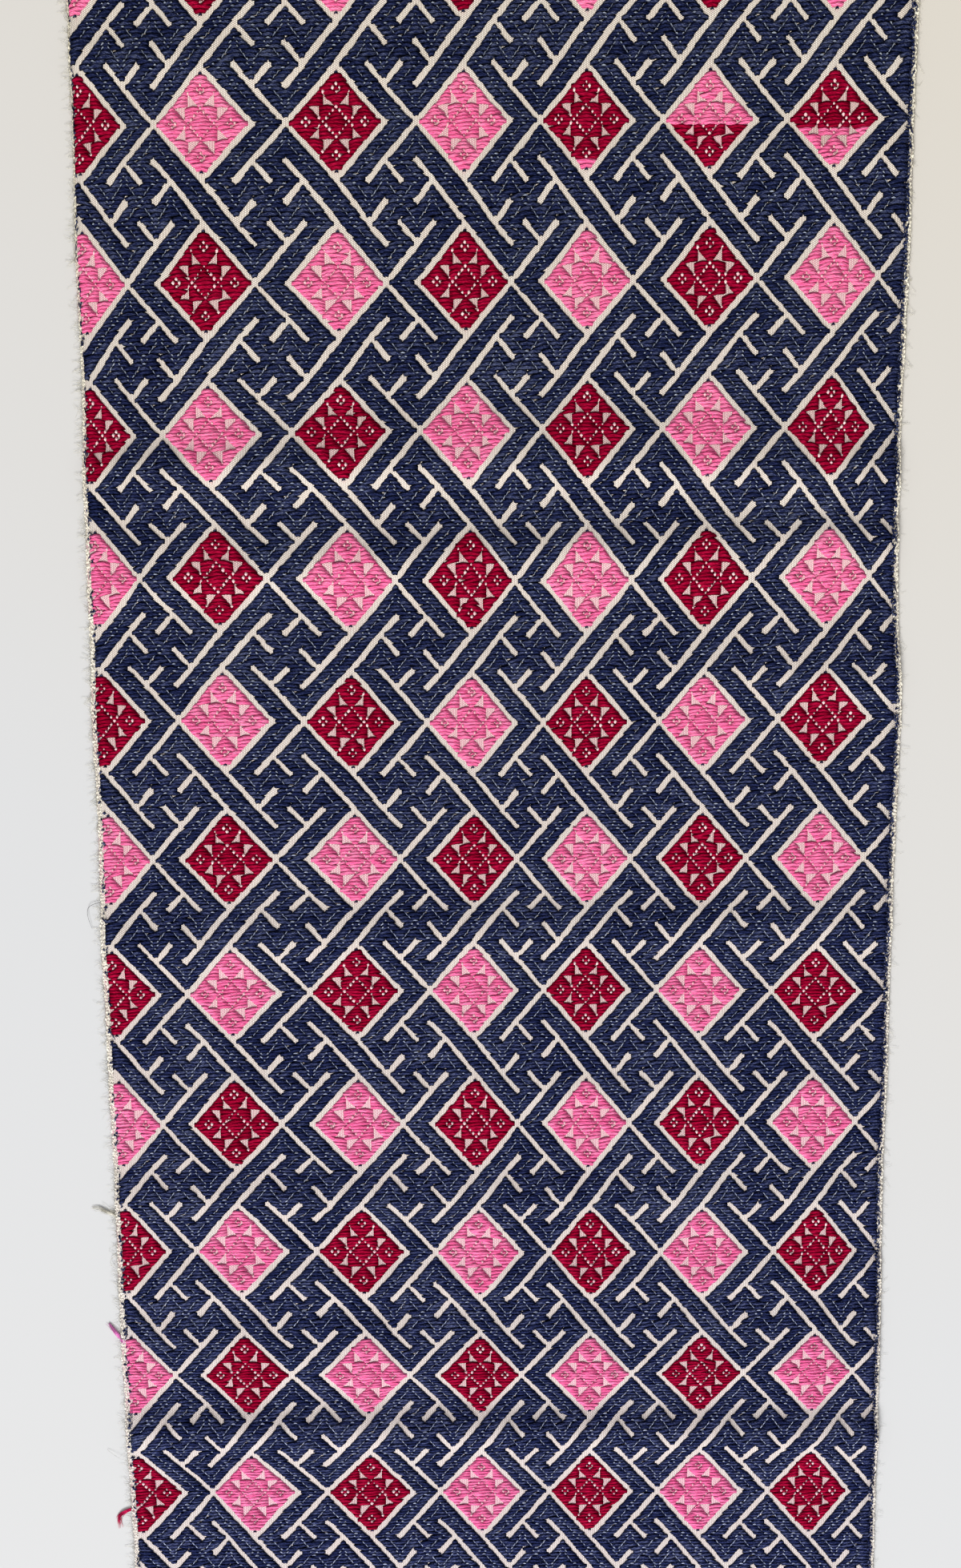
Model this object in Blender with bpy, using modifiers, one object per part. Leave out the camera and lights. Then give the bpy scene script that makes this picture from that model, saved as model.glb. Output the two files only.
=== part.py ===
"""Brocade panel: one length of narrow hand-woven cloth, lying face up and loosely flat.

Units are metres and +Z is up. The weft runs along X, the warp runs along Y, and the face of the
cloth looks up. The solid is a single closed sheet that follows the uneven selvedges and the few
low cross ripples of the cloth.
"""

import math

import bpy
import bmesh

# Overall sizes, in metres.
PANEL_LENGTH = 0.831
CLOTH_THICKNESS = 0.0016

# Fineness of the sheet: cells from selvedge to selvedge, and cells from end to end.
CELLS_ACROSS = 20
CELLS_ALONG = 112

# Selvedges, in millimetres: station along the cloth, left edge and right edge at that station.
SELVEDGES_MM = [
    # along, left, right
    (-420.0, -176.3, 175.9),
    (-330.0, -176.6, 175.9),
    (-270.0, -177.5, 176.0),
    (-205.0, -177.9, 175.9),
    (-160.0, -177.3, 175.1),
    (-100.0, -177.9, 176.2),
    (-40.0, -177.9, 176.1),
    (20.0, -176.9, 177.2),
    (60.0, -177.6, 178.1),
    (90.0, -176.6, 176.0),
    (130.0, -176.1, 174.3),
    (170.0, -175.7, 174.3),
    (205.0, -174.6, 175.0),
    (255.0, -174.9, 176.3),
    (305.0, -173.5, 176.4),
    (350.0, -173.3, 177.2),
    (420.0, -173.9, 176.8),
]

# Cut ends, in millimetres: how far each end wanders from a straight cut, by place across the cloth.
END_WANDER_MM = [
    # across, near end, far end
    (-180.0, 0.4, -0.6),
    (-90.0, -0.5, 0.0),
    (0.0, 0.6, -0.8),
    (95.0, -0.3, -0.2),
    (180.0, -0.9, 0.5),
]

# Cross ripples, in millimetres: the crest's station along the cloth at the left edge, in the middle
# and at the right edge, its height at the same three places, and its half width.
RIPPLES_MM = [
    # left, middle, right, high left, high middle, high right, half width
    (158.0, 175.0, 160.0, 1.5, 1.8, 1.6, 23.0),
    (130.0, 125.0, 130.0, 1.2, 1.5, 1.3, 21.0),
    (74.0, 77.0, 79.0, 0.0, 0.2, 1.2, 20.0),
    (-42.0, -40.0, -38.0, 1.1, 0.5, 0.0, 22.0),
    (-167.0, -169.0, -166.0, 0.7, 0.8, 0.5, 24.0),
    (-238.0, -241.0, -240.0, 1.2, 1.3, 1.0, 20.0),
    (-281.0, -280.0, -282.0, 1.5, 1.6, 1.5, 19.0),
]

# Cloth finish: the mean of ecru ground, navy lattice and red flowers.
CLOTH_COLOUR = (0.30, 0.15, 0.19, 1.0)
CLOTH_ROUGHNESS = 0.9
MM = 0.001


def look_up(table, place, column):
    """Value of one column of a table at a place, with straight lines between its rows."""
    if place <= table[0][0]:
        return table[0][column]
    for low, high in zip(table, table[1:]):
        if place <= high[0]:
            share = (place - low[0]) / (high[0] - low[0])
            return low[column] + share * (high[column] - low[column])
    return table[-1][column]


def three_way(left, middle, right, side):
    """Smooth value through left, middle and right, where side goes from -1 to 1."""
    bend = 0.5 * (left + right) - middle
    return middle + 0.5 * (right - left) * side + bend * side * side


def lift(side, along):
    """Height of the cloth's underside over the surface it lies on, in millimetres."""
    height = 0.0
    for left, middle, right, high_l, high_m, high_r, half in RIPPLES_MM:
        distance = abs(along - three_way(left, middle, right, side))
        crest = max(0.0, three_way(high_l, high_m, high_r, side))
        if distance < half:
            height += crest * 0.5 * (1.0 + math.cos(math.pi * distance / half))
    return height


def clear_objects():
    """Empty the scene of objects."""
    for item in list(bpy.data.objects):
        bpy.data.objects.remove(item, do_unlink=True)


def cloth_material():
    """Soft, matt woven cloth."""
    material = bpy.data.materials.new("brocade_cloth")
    material.use_nodes = True
    shader = material.node_tree.nodes["Principled BSDF"]
    shader.inputs["Base Color"].default_value = CLOTH_COLOUR
    shader.inputs["Roughness"].default_value = CLOTH_ROUGHNESS
    shader.inputs["Metallic"].default_value = 0.0
    return material


def cloth_surface():
    """Underside of the cloth as an open grid, shaped to its selvedges, ends and ripples."""
    mesh = bpy.data.meshes.new("brocade_panel")
    sheet = bmesh.new()
    bmesh.ops.create_grid(sheet, x_segments=CELLS_ACROSS, y_segments=CELLS_ALONG, size=1.0)
    for vert in sheet.verts:
        side = vert.co.x
        along = vert.co.y * PANEL_LENGTH / (2.0 * MM)
        left = look_up(SELVEDGES_MM, along, 1)
        right = look_up(SELVEDGES_MM, along, 2)
        across = 0.5 * (left + right) + 0.5 * side * (right - left)
        height = lift(side, along)
        end_column = 2 if along > 0.0 else 1
        wander = look_up(END_WANDER_MM, across, end_column)
        reach = max(0.0, abs(vert.co.y) - 0.97) / 0.03
        vert.co = (across * MM, (along + wander * reach) * MM, height * MM)
    sheet.to_mesh(mesh)
    sheet.free()
    return mesh


def centre_on_origin(mesh):
    """Put the middle of the box's base on the origin."""
    xs = [vert.co.x for vert in mesh.vertices]
    ys = [vert.co.y for vert in mesh.vertices]
    zs = [vert.co.z for vert in mesh.vertices]
    middle_x = 0.5 * (min(xs) + max(xs))
    middle_y = 0.5 * (min(ys) + max(ys))
    base = min(zs)
    for vert in mesh.vertices:
        vert.co.x -= middle_x
        vert.co.y -= middle_y
        vert.co.z -= base


def add_thickness(panel):
    """Give the cloth its body, upwards from the underside."""
    solid = panel.modifiers.new("cloth thickness", "SOLIDIFY")
    solid.thickness = CLOTH_THICKNESS
    solid.offset = 1.0
    solid.use_even_offset = False
    solid.use_rim = True


def build():
    """Build the panel in its own collection."""
    clear_objects()
    collection = bpy.data.collections.new("Brocade panel")
    bpy.context.scene.collection.children.link(collection)
    panel = bpy.data.objects.new("brocade_panel", cloth_surface())
    collection.objects.link(panel)
    panel.data.materials.append(cloth_material())
    centre_on_origin(panel.data)
    panel.data.shade_smooth()
    add_thickness(panel)


build()
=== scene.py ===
# %% [markdown]
# # A hand-woven brocade panel
#
# This lesson dresses a flat sheet of cloth that was modelled beforehand. The real panel is a narrow
# hand-loom cloth: an ecru ground, with thicker navy, crimson and pink threads laid in row by row.
# Everything that is seen, from the ground weave to the last loose thread, is made here.

# %% Load the frame
import math

import bmesh
import bpy
import numpy as np
from mathutils import Matrix, Vector


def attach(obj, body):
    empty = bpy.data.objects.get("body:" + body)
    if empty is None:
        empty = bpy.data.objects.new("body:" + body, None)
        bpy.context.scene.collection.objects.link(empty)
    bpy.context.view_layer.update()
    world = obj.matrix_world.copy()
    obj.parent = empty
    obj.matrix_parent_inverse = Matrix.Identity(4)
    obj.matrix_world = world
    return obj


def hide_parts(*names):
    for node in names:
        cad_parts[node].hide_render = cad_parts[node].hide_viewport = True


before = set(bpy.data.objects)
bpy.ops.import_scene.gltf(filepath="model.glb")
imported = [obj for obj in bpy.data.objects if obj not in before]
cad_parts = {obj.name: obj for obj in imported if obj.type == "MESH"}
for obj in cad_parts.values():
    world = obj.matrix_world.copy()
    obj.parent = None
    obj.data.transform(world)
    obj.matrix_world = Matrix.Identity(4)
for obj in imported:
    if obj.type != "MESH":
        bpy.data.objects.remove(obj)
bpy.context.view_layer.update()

MM = 0.001
rng = np.random.default_rng(41)

# %% [markdown]
# The weaver counts in steps and picks. A step is the smallest group of warp threads that a coloured
# thread passes over, and a pick is one passage of that thread across the cloth. One flower repeat is
# 40 steps wide and 40 picks high. All shapes below are planned in steps and picks, and one function
# turns them into millimetres. It reads tables of places, measured where the cloth could be seen and
# carried on evenly beyond, so the weaver's uneven beat bends ground and floats in the same way.

# %% Steps, picks and the cloth's edges
STEPS = 40
PICKS = 40
FIRST_STEP, LAST_STEP = -1, 263
FIRST_PICK, LAST_PICK = -63, 462
SELVEDGE_STEPS = 2.0

MEASURED_STEPS = [20, 40, 80, 120, 160, 200, 240]
COLUMNS_MM = [
    # flower row, place across of each measured step
    (-2, -142.3, -115.8, -60.6, -9.3, 42.1, 94.0, 144.8),
    (-1, -144.0, -117.6, -61.7, -9.5, 41.6, 93.0, 144.1),
    (0, -146.1, -119.8, -63.1, -10.0, 40.8, 91.9, 143.3),
    (1, -147.2, -120.5, -63.9, -10.2, 41.0, 92.7, 144.8),
    (2, -147.7, -120.9, -64.0, -10.2, 41.0, 92.1, 144.5),
    (3, -147.0, -119.5, -62.2, -9.3, 40.7, 91.9, 144.7),
    (4, -145.9, -119.2, -62.6, -9.9, 40.2, 91.4, 143.8),
    (5, -146.9, -119.6, -62.5, -9.5, 40.5, 91.6, 143.2),
    (6, -146.9, -120.1, -63.4, -10.6, 39.8, 90.5, 142.8),
    (7, -147.6, -120.6, -63.9, -10.4, 40.1, 91.4, 142.7),
    (8, -147.4, -120.6, -63.5, -9.6, 41.9, 93.3, 145.7),
    (9, -146.4, -119.6, -62.8, -9.8, 41.2, 93.1, 145.4),
    (10, -144.3, -118.4, -62.2, -9.9, 41.0, 92.3, 144.6),
    (11, -143.5, -119.1, -62.9, -9.9, 41.1, 93.1, 145.8),
    (12, -142.5, -119.4, -63.0, -9.4, 41.4, 94.0, 147.0),
]

PICKS_MM = [
    # pick, place along at the left, in the middle and at the right
    (-80, 432.9, 432.6, 431.1),
    (-70, 417.4, 417.0, 415.5),
    (-60, 401.7, 401.3, 399.8),
    (-50, 386.1, 385.7, 384.1),
    (-40, 370.4, 369.9, 368.4),
    (-30, 354.8, 354.1, 352.6),
    (-20, 339.0, 338.1, 336.7),
    (-10, 322.6, 321.3, 319.8),
    (0, 307.5, 306.8, 305.2),
    (10, 292.6, 291.7, 291.0),
    (20, 276.8, 275.1, 275.0),
    (30, 260.0, 258.3, 258.4),
    (40, 243.8, 242.4, 242.5),
    (50, 228.5, 227.8, 227.5),
    (60, 212.5, 212.1, 212.4),
    (70, 196.4, 196.2, 196.7),
    (80, 181.4, 181.5, 180.7),
    (90, 165.7, 165.9, 165.4),
    (100, 151.3, 149.9, 149.4),
    (110, 136.4, 134.2, 133.9),
    (120, 120.7, 117.7, 118.2),
    (130, 105.2, 102.0, 102.8),
    (140, 89.9, 86.6, 87.4),
    (150, 74.7, 71.2, 72.5),
    (160, 58.9, 56.1, 57.2),
    (170, 43.3, 41.0, 41.9),
    (180, 28.1, 25.7, 26.3),
    (190, 12.1, 10.5, 10.4),
    (200, -3.3, -4.4, -5.2),
    (210, -18.7, -19.5, -20.6),
    (220, -33.8, -33.6, -36.0),
    (230, -49.7, -49.1, -51.5),
    (240, -65.1, -64.2, -66.1),
    (250, -79.7, -79.1, -81.0),
    (260, -95.0, -94.9, -96.1),
    (270, -110.5, -110.9, -111.1),
    (280, -126.4, -126.9, -126.9),
    (290, -141.6, -142.8, -142.4),
    (300, -156.0, -158.1, -157.3),
    (310, -171.4, -173.3, -173.0),
    (320, -187.3, -189.0, -188.9),
    (330, -202.5, -204.4, -203.8),
    (340, -218.2, -219.8, -219.0),
    (350, -233.7, -234.4, -234.0),
    (360, -248.5, -248.9, -248.0),
    (370, -263.4, -263.1, -263.0),
    (380, -278.9, -277.7, -277.6),
    (390, -293.9, -293.6, -292.5),
    (400, -308.4, -308.2, -308.4),
    (410, -324.1, -323.5, -324.4),
    (420, -339.6, -339.0, -339.6),
    (430, -355.1, -354.5, -355.0),
    (440, -370.8, -370.1, -370.6),
    (450, -386.4, -385.7, -386.2),
    (460, -402.0, -401.4, -401.8),
    (470, -417.7, -417.0, -417.4),
    (480, -433.3, -432.6, -433.1),
]
PICKS_PER_ROW = 10.0
# how far the picks of each repeat stray from that table, in millimetres
BEAT_PICKS = [0, 10, 15, 20, 25, 30, 40]
BEAT_MM = [0.0, 0.0, 0.29, 0.0, -0.41, 0.0, 0.0]
MIDDLE_STEPS = [40, 240]

SELVEDGES_MM = [
    # along, left edge, right edge, left selvedge width, right selvedge width
    (-420.0, -176.3, 175.9, 2.7, 2.6),
    (-330.0, -176.6, 175.9, 2.7, 2.6),
    (-270.0, -177.5, 176.0, 2.9, 2.4),
    (-205.0, -177.9, 175.9, 2.9, 2.6),
    (-160.0, -177.3, 175.1, 2.6, 2.8),
    (-100.0, -177.9, 176.2, 2.8, 2.6),
    (-40.0, -177.9, 176.1, 2.8, 2.6),
    (20.0, -176.9, 177.2, 2.6, 2.7),
    (60.0, -177.6, 178.1, 2.7, 2.8),
    (90.0, -176.6, 176.0, 2.5, 2.6),
    (130.0, -176.1, 174.3, 2.3, 2.6),
    (170.0, -175.7, 174.3, 2.0, 2.6),
    (205.0, -174.6, 175.0, 1.6, 2.6),
    (255.0, -174.9, 176.3, 1.3, 2.6),
    (305.0, -173.5, 176.4, 1.0, 2.4),
    (350.0, -173.3, 177.2, 1.1, 2.6),
    (420.0, -173.9, 176.8, 1.4, 2.6),
]
COLUMN_TABLE = np.array(COLUMNS_MM)
PICK_TABLE = np.array(PICKS_MM)
EDGE_TABLE = np.array(SELVEDGES_MM)


def smooth_rows(values, place):
    """Smooth curve through one value per row of a table."""
    low = np.clip(np.floor(place).astype(int), 0, len(values) - 2)
    part = place - low
    before = values[np.clip(low - 1, 0, None)]
    here, after = values[low], values[low + 1]
    later = values[np.clip(low + 2, None, len(values) - 1)]
    bend = part * (2 * before - 5 * here + 4 * after - later + part * (3 * (here - after) + later - before))
    return here + 0.5 * part * (after - before + bend)


def three_way(left, middle, right, side):
    """Smooth value through left, middle and right, where side goes from -1 to 1."""
    return middle + 0.5 * (right - left) * side + (0.5 * (left + right) - middle) * side * side


def edge(along, column):
    """Value of one column of the selvedge table at each place along the cloth."""
    return np.interp(along, EDGE_TABLE[:, 0], EDGE_TABLE[:, column])


def to_cloth(step, pick):
    """Place across and along the cloth, in millimetres, of a step and a pick."""
    step, pick = np.broadcast_arrays(np.asarray(step, float), np.asarray(pick, float))
    side = np.interp(step, MIDDLE_STEPS, [-1.0, 1.0])
    place = (pick - PICK_TABLE[0, 0]) / PICKS_PER_ROW
    along = three_way(*(smooth_rows(PICK_TABLE[:, column], place) for column in (1, 2, 3)), side)
    along = along + np.interp(pick % PICKS, BEAT_PICKS, BEAT_MM)
    left, right, strip_l, strip_r = (edge(along, column) for column in (1, 2, 3, 4))
    start, stop = FIRST_STEP - 0.5, LAST_STEP + 0.5
    row = pick / PICKS - COLUMN_TABLE[0, 0]
    inner = [smooth_rows(COLUMN_TABLE[:, column], row) for column in range(1, len(MEASURED_STEPS) + 1)]
    places = [left + strip_l] + inner + [right - strip_r]
    knots = [start] + MEASURED_STEPS + [stop]
    across = places[0]
    for low, high, here, after in zip(knots, knots[1:], places, places[1:]):
        across = across + (after - here) * np.clip((step - low) / (high - low), 0.0, 1.0)
    outer_l = left + strip_l * (step - start + SELVEDGE_STEPS) / SELVEDGE_STEPS
    outer_r = right + strip_r * (step - stop - SELVEDGE_STEPS) / SELVEDGE_STEPS
    across = np.where(step < start, outer_l, np.where(step > stop, outer_r, across))
    return across, along


corners_mm = to_cloth([FIRST_STEP, LAST_STEP], [FIRST_PICK, LAST_PICK])
print("pattern runs", np.round(corners_mm[0], 1), "across and", np.round(corners_mm[1], 1), "along, in mm")

# %% [markdown]
# The cloth lies loosely. It touches the surface almost everywhere and lifts in a few low cross
# ripples, the same ones that the plain sheet has. A much smaller pucker comes from the weave pulling
# on itself. It is a sum of a few slow waves, which is cheap and never repeats in step with the flowers.

# %% Height of the cloth over the surface
RIPPLES_MM = [
    # left, middle, right, high left, high middle, high right, half width
    (158.0, 175.0, 160.0, 1.5, 1.8, 1.6, 23.0),
    (130.0, 125.0, 130.0, 1.2, 1.5, 1.3, 21.0),
    (74.0, 77.0, 79.0, 0.0, 0.2, 1.2, 20.0),
    (-42.0, -40.0, -38.0, 1.1, 0.5, 0.0, 22.0),
    (-167.0, -169.0, -166.0, 0.7, 0.8, 0.5, 24.0),
    (-238.0, -241.0, -240.0, 1.2, 1.3, 1.0, 20.0),
    (-281.0, -280.0, -282.0, 1.5, 1.6, 1.5, 19.0),
]
CREASES_MM = [
    # the same columns, for the sharper creases that ride on the ripples
    (335.0, 328.0, 326.0, 1.1, 0.5, 0.4, 14.0),
    (291.0, 291.0, 291.0, 0.4, 0.5, 0.4, 12.0),
    (168.0, 166.0, 162.0, 1.2, 1.1, 0.8, 13.0),
    (112.0, 131.0, 134.0, 1.0, 0.8, 0.8, 12.0),
    (92.0, 84.0, 70.0, 0.0, 0.3, 0.8, 13.0),
    (-44.0, -37.0, -36.0, 0.6, 1.0, 1.2, 17.0),
    (-112.0, -112.0, -112.0, 0.5, 0.6, 0.4, 12.0),
    (-162.0, -161.0, -162.0, 0.6, 0.7, 0.5, 11.0),
    (-203.0, -203.0, -200.0, 0.7, 0.8, 0.8, 14.0),
    (-226.0, -225.0, -222.0, 0.7, 0.8, 1.0, 13.0),
    (-276.0, -277.0, -279.0, 1.1, 1.1, 1.1, 13.0),
    (-295.0, -295.0, -297.0, 0.5, 0.4, 0.4, 10.0),
]
PUCKER_MM = 0.16
PUCKER_WAVES = 9
WAVES_PER_MM = np.array([0.22, 0.34])
waves = (
    rng.uniform(-1.0, 1.0, (PUCKER_WAVES, 2)) * WAVES_PER_MM,
    rng.uniform(0.0, 2 * math.pi, PUCKER_WAVES),
)


def cloth_height(across, along):
    """Height of the underside of the cloth, in millimetres."""
    side = 2.0 * (across - edge(along, 1)) / (edge(along, 2) - edge(along, 1)) - 1.0
    height = np.zeros_like(across)
    for left, middle, right, high_l, high_m, high_r, half in RIPPLES_MM + CREASES_MM:
        away = np.abs(along - three_way(left, middle, right, side)) / half
        crest = np.maximum(0.0, three_way(high_l, high_m, high_r, side))
        height += crest * 0.5 * (1.0 + np.cos(math.pi * np.minimum(away, 1.0)))
    pucker = sum(np.sin(across * x + along * y + phase) for (x, y), phase in zip(*waves)) / PUCKER_WAVES
    return height + PUCKER_MM * (pucker + 0.5).clip(0.0, 1.2)


middle_line = cloth_height(np.zeros(800), np.linspace(-400, 400, 800))
print("highest ripple:", round(float(middle_line.max()), 2), "mm")

# %% [markdown]
# A draft is the weaver's chart. It says for each step of each pick which thread shows on the face:
# 0 for the ecru ground, 1 for navy, 2 for the flower colour. Here it is worked out from rules, the way
# the pattern is planned on a loom. The fret is a set of straight ecru lines on a lattice of 5 steps,
# and every second flower row is its mirror image. Navy fills the rest. It may not float over more
# than a few steps, so it is tied down along thin zigzags that follow the meander between those lines.

# %% The draft
UNIT = 5
FRET_LINES = [
    # from u, from v, to u, to v, in lattice units from the flower's middle
    (3, 0, 0, 3),
    (0, 3, -3, 0),
    (-3, 0, 0, -3),
    (0, -3, 3, 0),
    (5, 0, 2, -3),
    (3, -2, 4, -3),
    (5, 0, 2, 3),
    (3, 2, 4, 3),
    (0, 3, 3, 6),
    (2, 5, 3, 4),
    (0, -3, 3, -6),
    (2, -5, 3, -4),
]
GROUND, NAVY, FLOWER = 0, 1, 2
FLOWER_REACH, BORDER_REACH = 13, 16
PETALS = [(0, 9), (0, -9), (9, 0), (-9, 0)]
PLAIN_EDGE_STEPS = 2
step_grid, pick_grid = np.meshgrid(
    np.arange(FIRST_STEP, LAST_STEP + 1), np.arange(FIRST_PICK, LAST_PICK + 1)
)


def fold(values, period):
    """Bring values to the repeat around zero."""
    return (values + period // 2) % period - period // 2


def from_flower(step, pick):
    """Steps plus picks from the middle of the nearest flower."""
    return np.abs(fold(step, STEPS)) + np.abs(fold(pick, PICKS))


def from_petals(dx, dy):
    """Steps plus picks from the middle of the nearest petal, and from each petal's."""
    return np.array([np.abs(dx - px) + np.abs(dy - py) for px, py in PETALS])


def fret_mask():
    """True where an ecru line of the fret runs."""
    mask = np.zeros(step_grid.shape, bool)
    for hand, row in ((1, 0), (-1, 1)):
        for u0, v0, u1, v1 in FRET_LINES:
            run_u, run_v = np.sign(u1 - u0) * hand, np.sign(v1 - v0)
            for over_u in (-STEPS, 0, STEPS):
                for over_v in (-2 * PICKS, 0, 2 * PICKS):
                    x = fold(step_grid, STEPS) + over_u - u0 * hand * UNIT
                    y = fold(pick_grid - row * PICKS, 2 * PICKS) + over_v - v0 * UNIT
                    gone = 0.5 * (x * run_u + y * run_v)
                    beside = np.abs(x * run_u - y * run_v)
                    mask |= (beside <= 1) & (gone >= -0.75) & (gone <= abs(u1 - u0) * UNIT + 0.75)
    return mask


def tie_mask(fret):
    """True where navy dips under the warp. The ties run from node to node of the lattice wherever
    no ecru line is in the way, and go round the far side of each node."""
    margin = 3
    walls = np.pad(fret, margin, mode="edge")
    mask = np.zeros(walls.shape, bool)
    nodes = ((step_grid - pick_grid) % (2 * UNIT) == 0) & ((step_grid + pick_grid) % (2 * UNIT) == 0)
    row, column = np.nonzero(nodes)
    row, column = row + margin, column + margin
    for side in (-1, 1):
        for way in (-1, 1):
            clear = ~walls[row + 2 * way, column + 2 * side]
            at_row, at_column = row[clear], column[clear]
            for far in (1, 2):
                mask[at_row + far * way, at_column + far * side] = True
            mask[at_row - way, at_column] = True
            mask[at_row, at_column - side] = True
    return mask[margin:-margin, margin:-margin]


def flower_mask(dx, dy):
    """True where the flower colour shows: four petals with an eye, a heart and eight wedges."""
    ax, ay = np.abs(dx), np.abs(dy)
    mask = ax + ay <= 3
    for away in from_petals(dx, dy):
        mask |= (away <= 4) & (away != 1)
    mask |= (ax >= 1) & (ax <= 4) & (ay >= 1) & (ay <= 4) & (ax + ay >= 5)
    mask |= (ax >= 5) & (ay >= 5) & (ax + ay <= FLOWER_REACH)
    return mask


def make_draft():
    """The chart as a grid with one number per step and pick."""
    inner = (step_grid > FIRST_STEP + PLAIN_EDGE_STEPS) & (step_grid < LAST_STEP - PLAIN_EDGE_STEPS)
    chart = np.where(fret | (dips & inner), GROUND, NAVY)
    dx, dy = fold(step_grid, STEPS), fold(pick_grid, PICKS)
    chart[reach <= BORDER_REACH] = GROUND
    chart[(reach <= FLOWER_REACH) & flower_mask(dx, dy)] = FLOWER
    chart[(reach == FLOWER_REACH) & (dx == 0)] = NAVY
    return chart


reach = from_flower(step_grid, pick_grid)
fret = fret_mask()
dips = tie_mask(fret)
draft = make_draft()
open_ground = (draft != NAVY) & ~(dips & ~fret) | (reach <= BORDER_REACH)
print("draft of", draft.shape[1], "steps by", draft.shape[0], "picks")

# %% [markdown]
# A float is a stretch where the coloured thread lies on top of the cloth. Reading the draft pick by
# pick gives the list of floats: first step, number of steps and pick. The weaver changed the flower
# colours like the fields of a chess board, and ran out of a colour part way through a few flowers.

# %% From draft to floats
CRIMSON, PINK = 0, 1
COLOUR_CHANGES = [
    # row, column, from this pick of the flower on, colour
    (0, 4, 11, PINK),
    (0, 5, 2, CRIMSON),
    (0, 6, 3, PINK),
]


def find_floats(chart, thread):
    """Runs of one thread: first step, length in steps, pick."""
    there = np.pad(chart == thread, ((0, 0), (1, 1))).astype(int)
    change = np.diff(there, axis=1)
    pick_a, first = np.nonzero(change == 1)
    pick_b, stop = np.nonzero(change == -1)
    return first + FIRST_STEP, stop - first, pick_a + FIRST_PICK


def flower_colours(step, pick):
    """Crimson or pink for each float, by the flower that it belongs to."""
    column = np.rint(step / STEPS).astype(int)
    row = np.rint(pick / PICKS).astype(int)
    colour = np.where((column + row) % 2 == 0, CRIMSON, PINK)
    for at_row, at_column, since, new in COLOUR_CHANGES:
        changed = (row == at_row) & (column == at_column) & (pick - row * PICKS >= since)
        colour[changed] = new
    return colour


navy_first, navy_long, navy_pick = find_floats(draft, NAVY)
flower_first, flower_long, flower_pick = find_floats(draft, FLOWER)
flower_colour = flower_colours(flower_first + 0.5 * (flower_long - 1), flower_pick)
print(len(navy_first), "navy floats,", len(flower_first), "flower floats on the face")

# %% [markdown]
# Every float is a small spindle: blunt where it dives under a warp thread and full in the middle. It
# starts as one ring of corners, which is extruded along X twice and then shaped. Three sides are
# enough on the face, where only the ridge and its two slopes show. The floats are then copies of the
# spindle, each stretched, leaned and set down in steps and picks, and joined into one mesh, because
# thousands of objects would be slow. The warp stitches that hold the floats down are smaller still.

# %% Spindles and how they are laid
def read_out(body):
    """Corner places and triangles of a bmesh, which is then freed."""
    bmesh.ops.triangulate(body, faces=body.faces)
    body.verts.index_update()
    places = np.array([vert.co for vert in body.verts])
    faces = np.array([[vert.index for vert in face.verts] for face in body.faces])
    body.free()
    return places, faces


def rod(sides, rings):
    """Corner places and faces of a closed straight rod along X, 2 units long, from an extruded ring
    whose first corner points up."""
    body = bmesh.new()
    bmesh.ops.create_circle(body, cap_ends=True, segments=sides, radius=1.0)
    for axis in ("Y", "X"):
        bmesh.ops.rotate(body, verts=body.verts, matrix=Matrix.Rotation(math.pi / 2, 3, axis))
    bmesh.ops.translate(body, verts=body.verts, vec=(-1.0, 0.0, 0.0))
    end = list(body.faces)
    for ring in range(rings - 1):
        made = bmesh.ops.extrude_face_region(body, geom=end)["geom"]
        if ring:
            bmesh.ops.delete(body, geom=end, context="FACES_ONLY")
        end = [item for item in made if isinstance(item, bmesh.types.BMFace)]
        moved = [item for item in made if isinstance(item, bmesh.types.BMVert)]
        bmesh.ops.translate(body, verts=moved, vec=(2.0 / (rings - 1), 0.0, 0.0))
    bmesh.ops.recalc_face_normals(body, faces=body.faces)
    return read_out(body)


def spindle(sides, end_width, end_height, end_drop):
    """A rod of three rings, 2 wide and up to 1 high over its axis, whose ends have their own width
    and height and sit lower by end_drop."""
    places, faces = rod(sides, 3)
    across, up = places[:, 1], places[:, 2]
    across /= np.abs(across).max()
    if sides == 3:
        up += 0.5
        up /= up.max()
    away = np.abs(places[:, 0])
    across *= 1.0 - (1.0 - end_width) * away
    up *= 1.0 - (1.0 - end_height) * away
    up -= end_drop * away
    return places, faces


def bead():
    """The smallest shape: two points and one ring of four."""
    body = bmesh.new()
    bmesh.ops.create_uvsphere(body, u_segments=4, v_segments=2, radius=1.0)
    bmesh.ops.rotate(body, verts=body.verts, matrix=Matrix.Rotation(math.pi / 2, 3, "Y"))
    return read_out(body)


FLOAT_SHAPE = spindle(3, 0.98, 0.66, 0.48)
BACK_SHAPE = spindle(4, 0.98, 0.66, 0.0)
BEAD = bead()
print("triangles of a float:", len(FLOAT_SHAPE[1]), "on the back:", len(BACK_SHAPE[1]))
print("triangles of a stitch:", len(BEAD[1]))
BOW = 0.24  # picks by which the middle of a float bows towards the far end
SHADE_SHIFT_MM = 40.0  # moves each float's plies on, so that no two floats look alike


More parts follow.
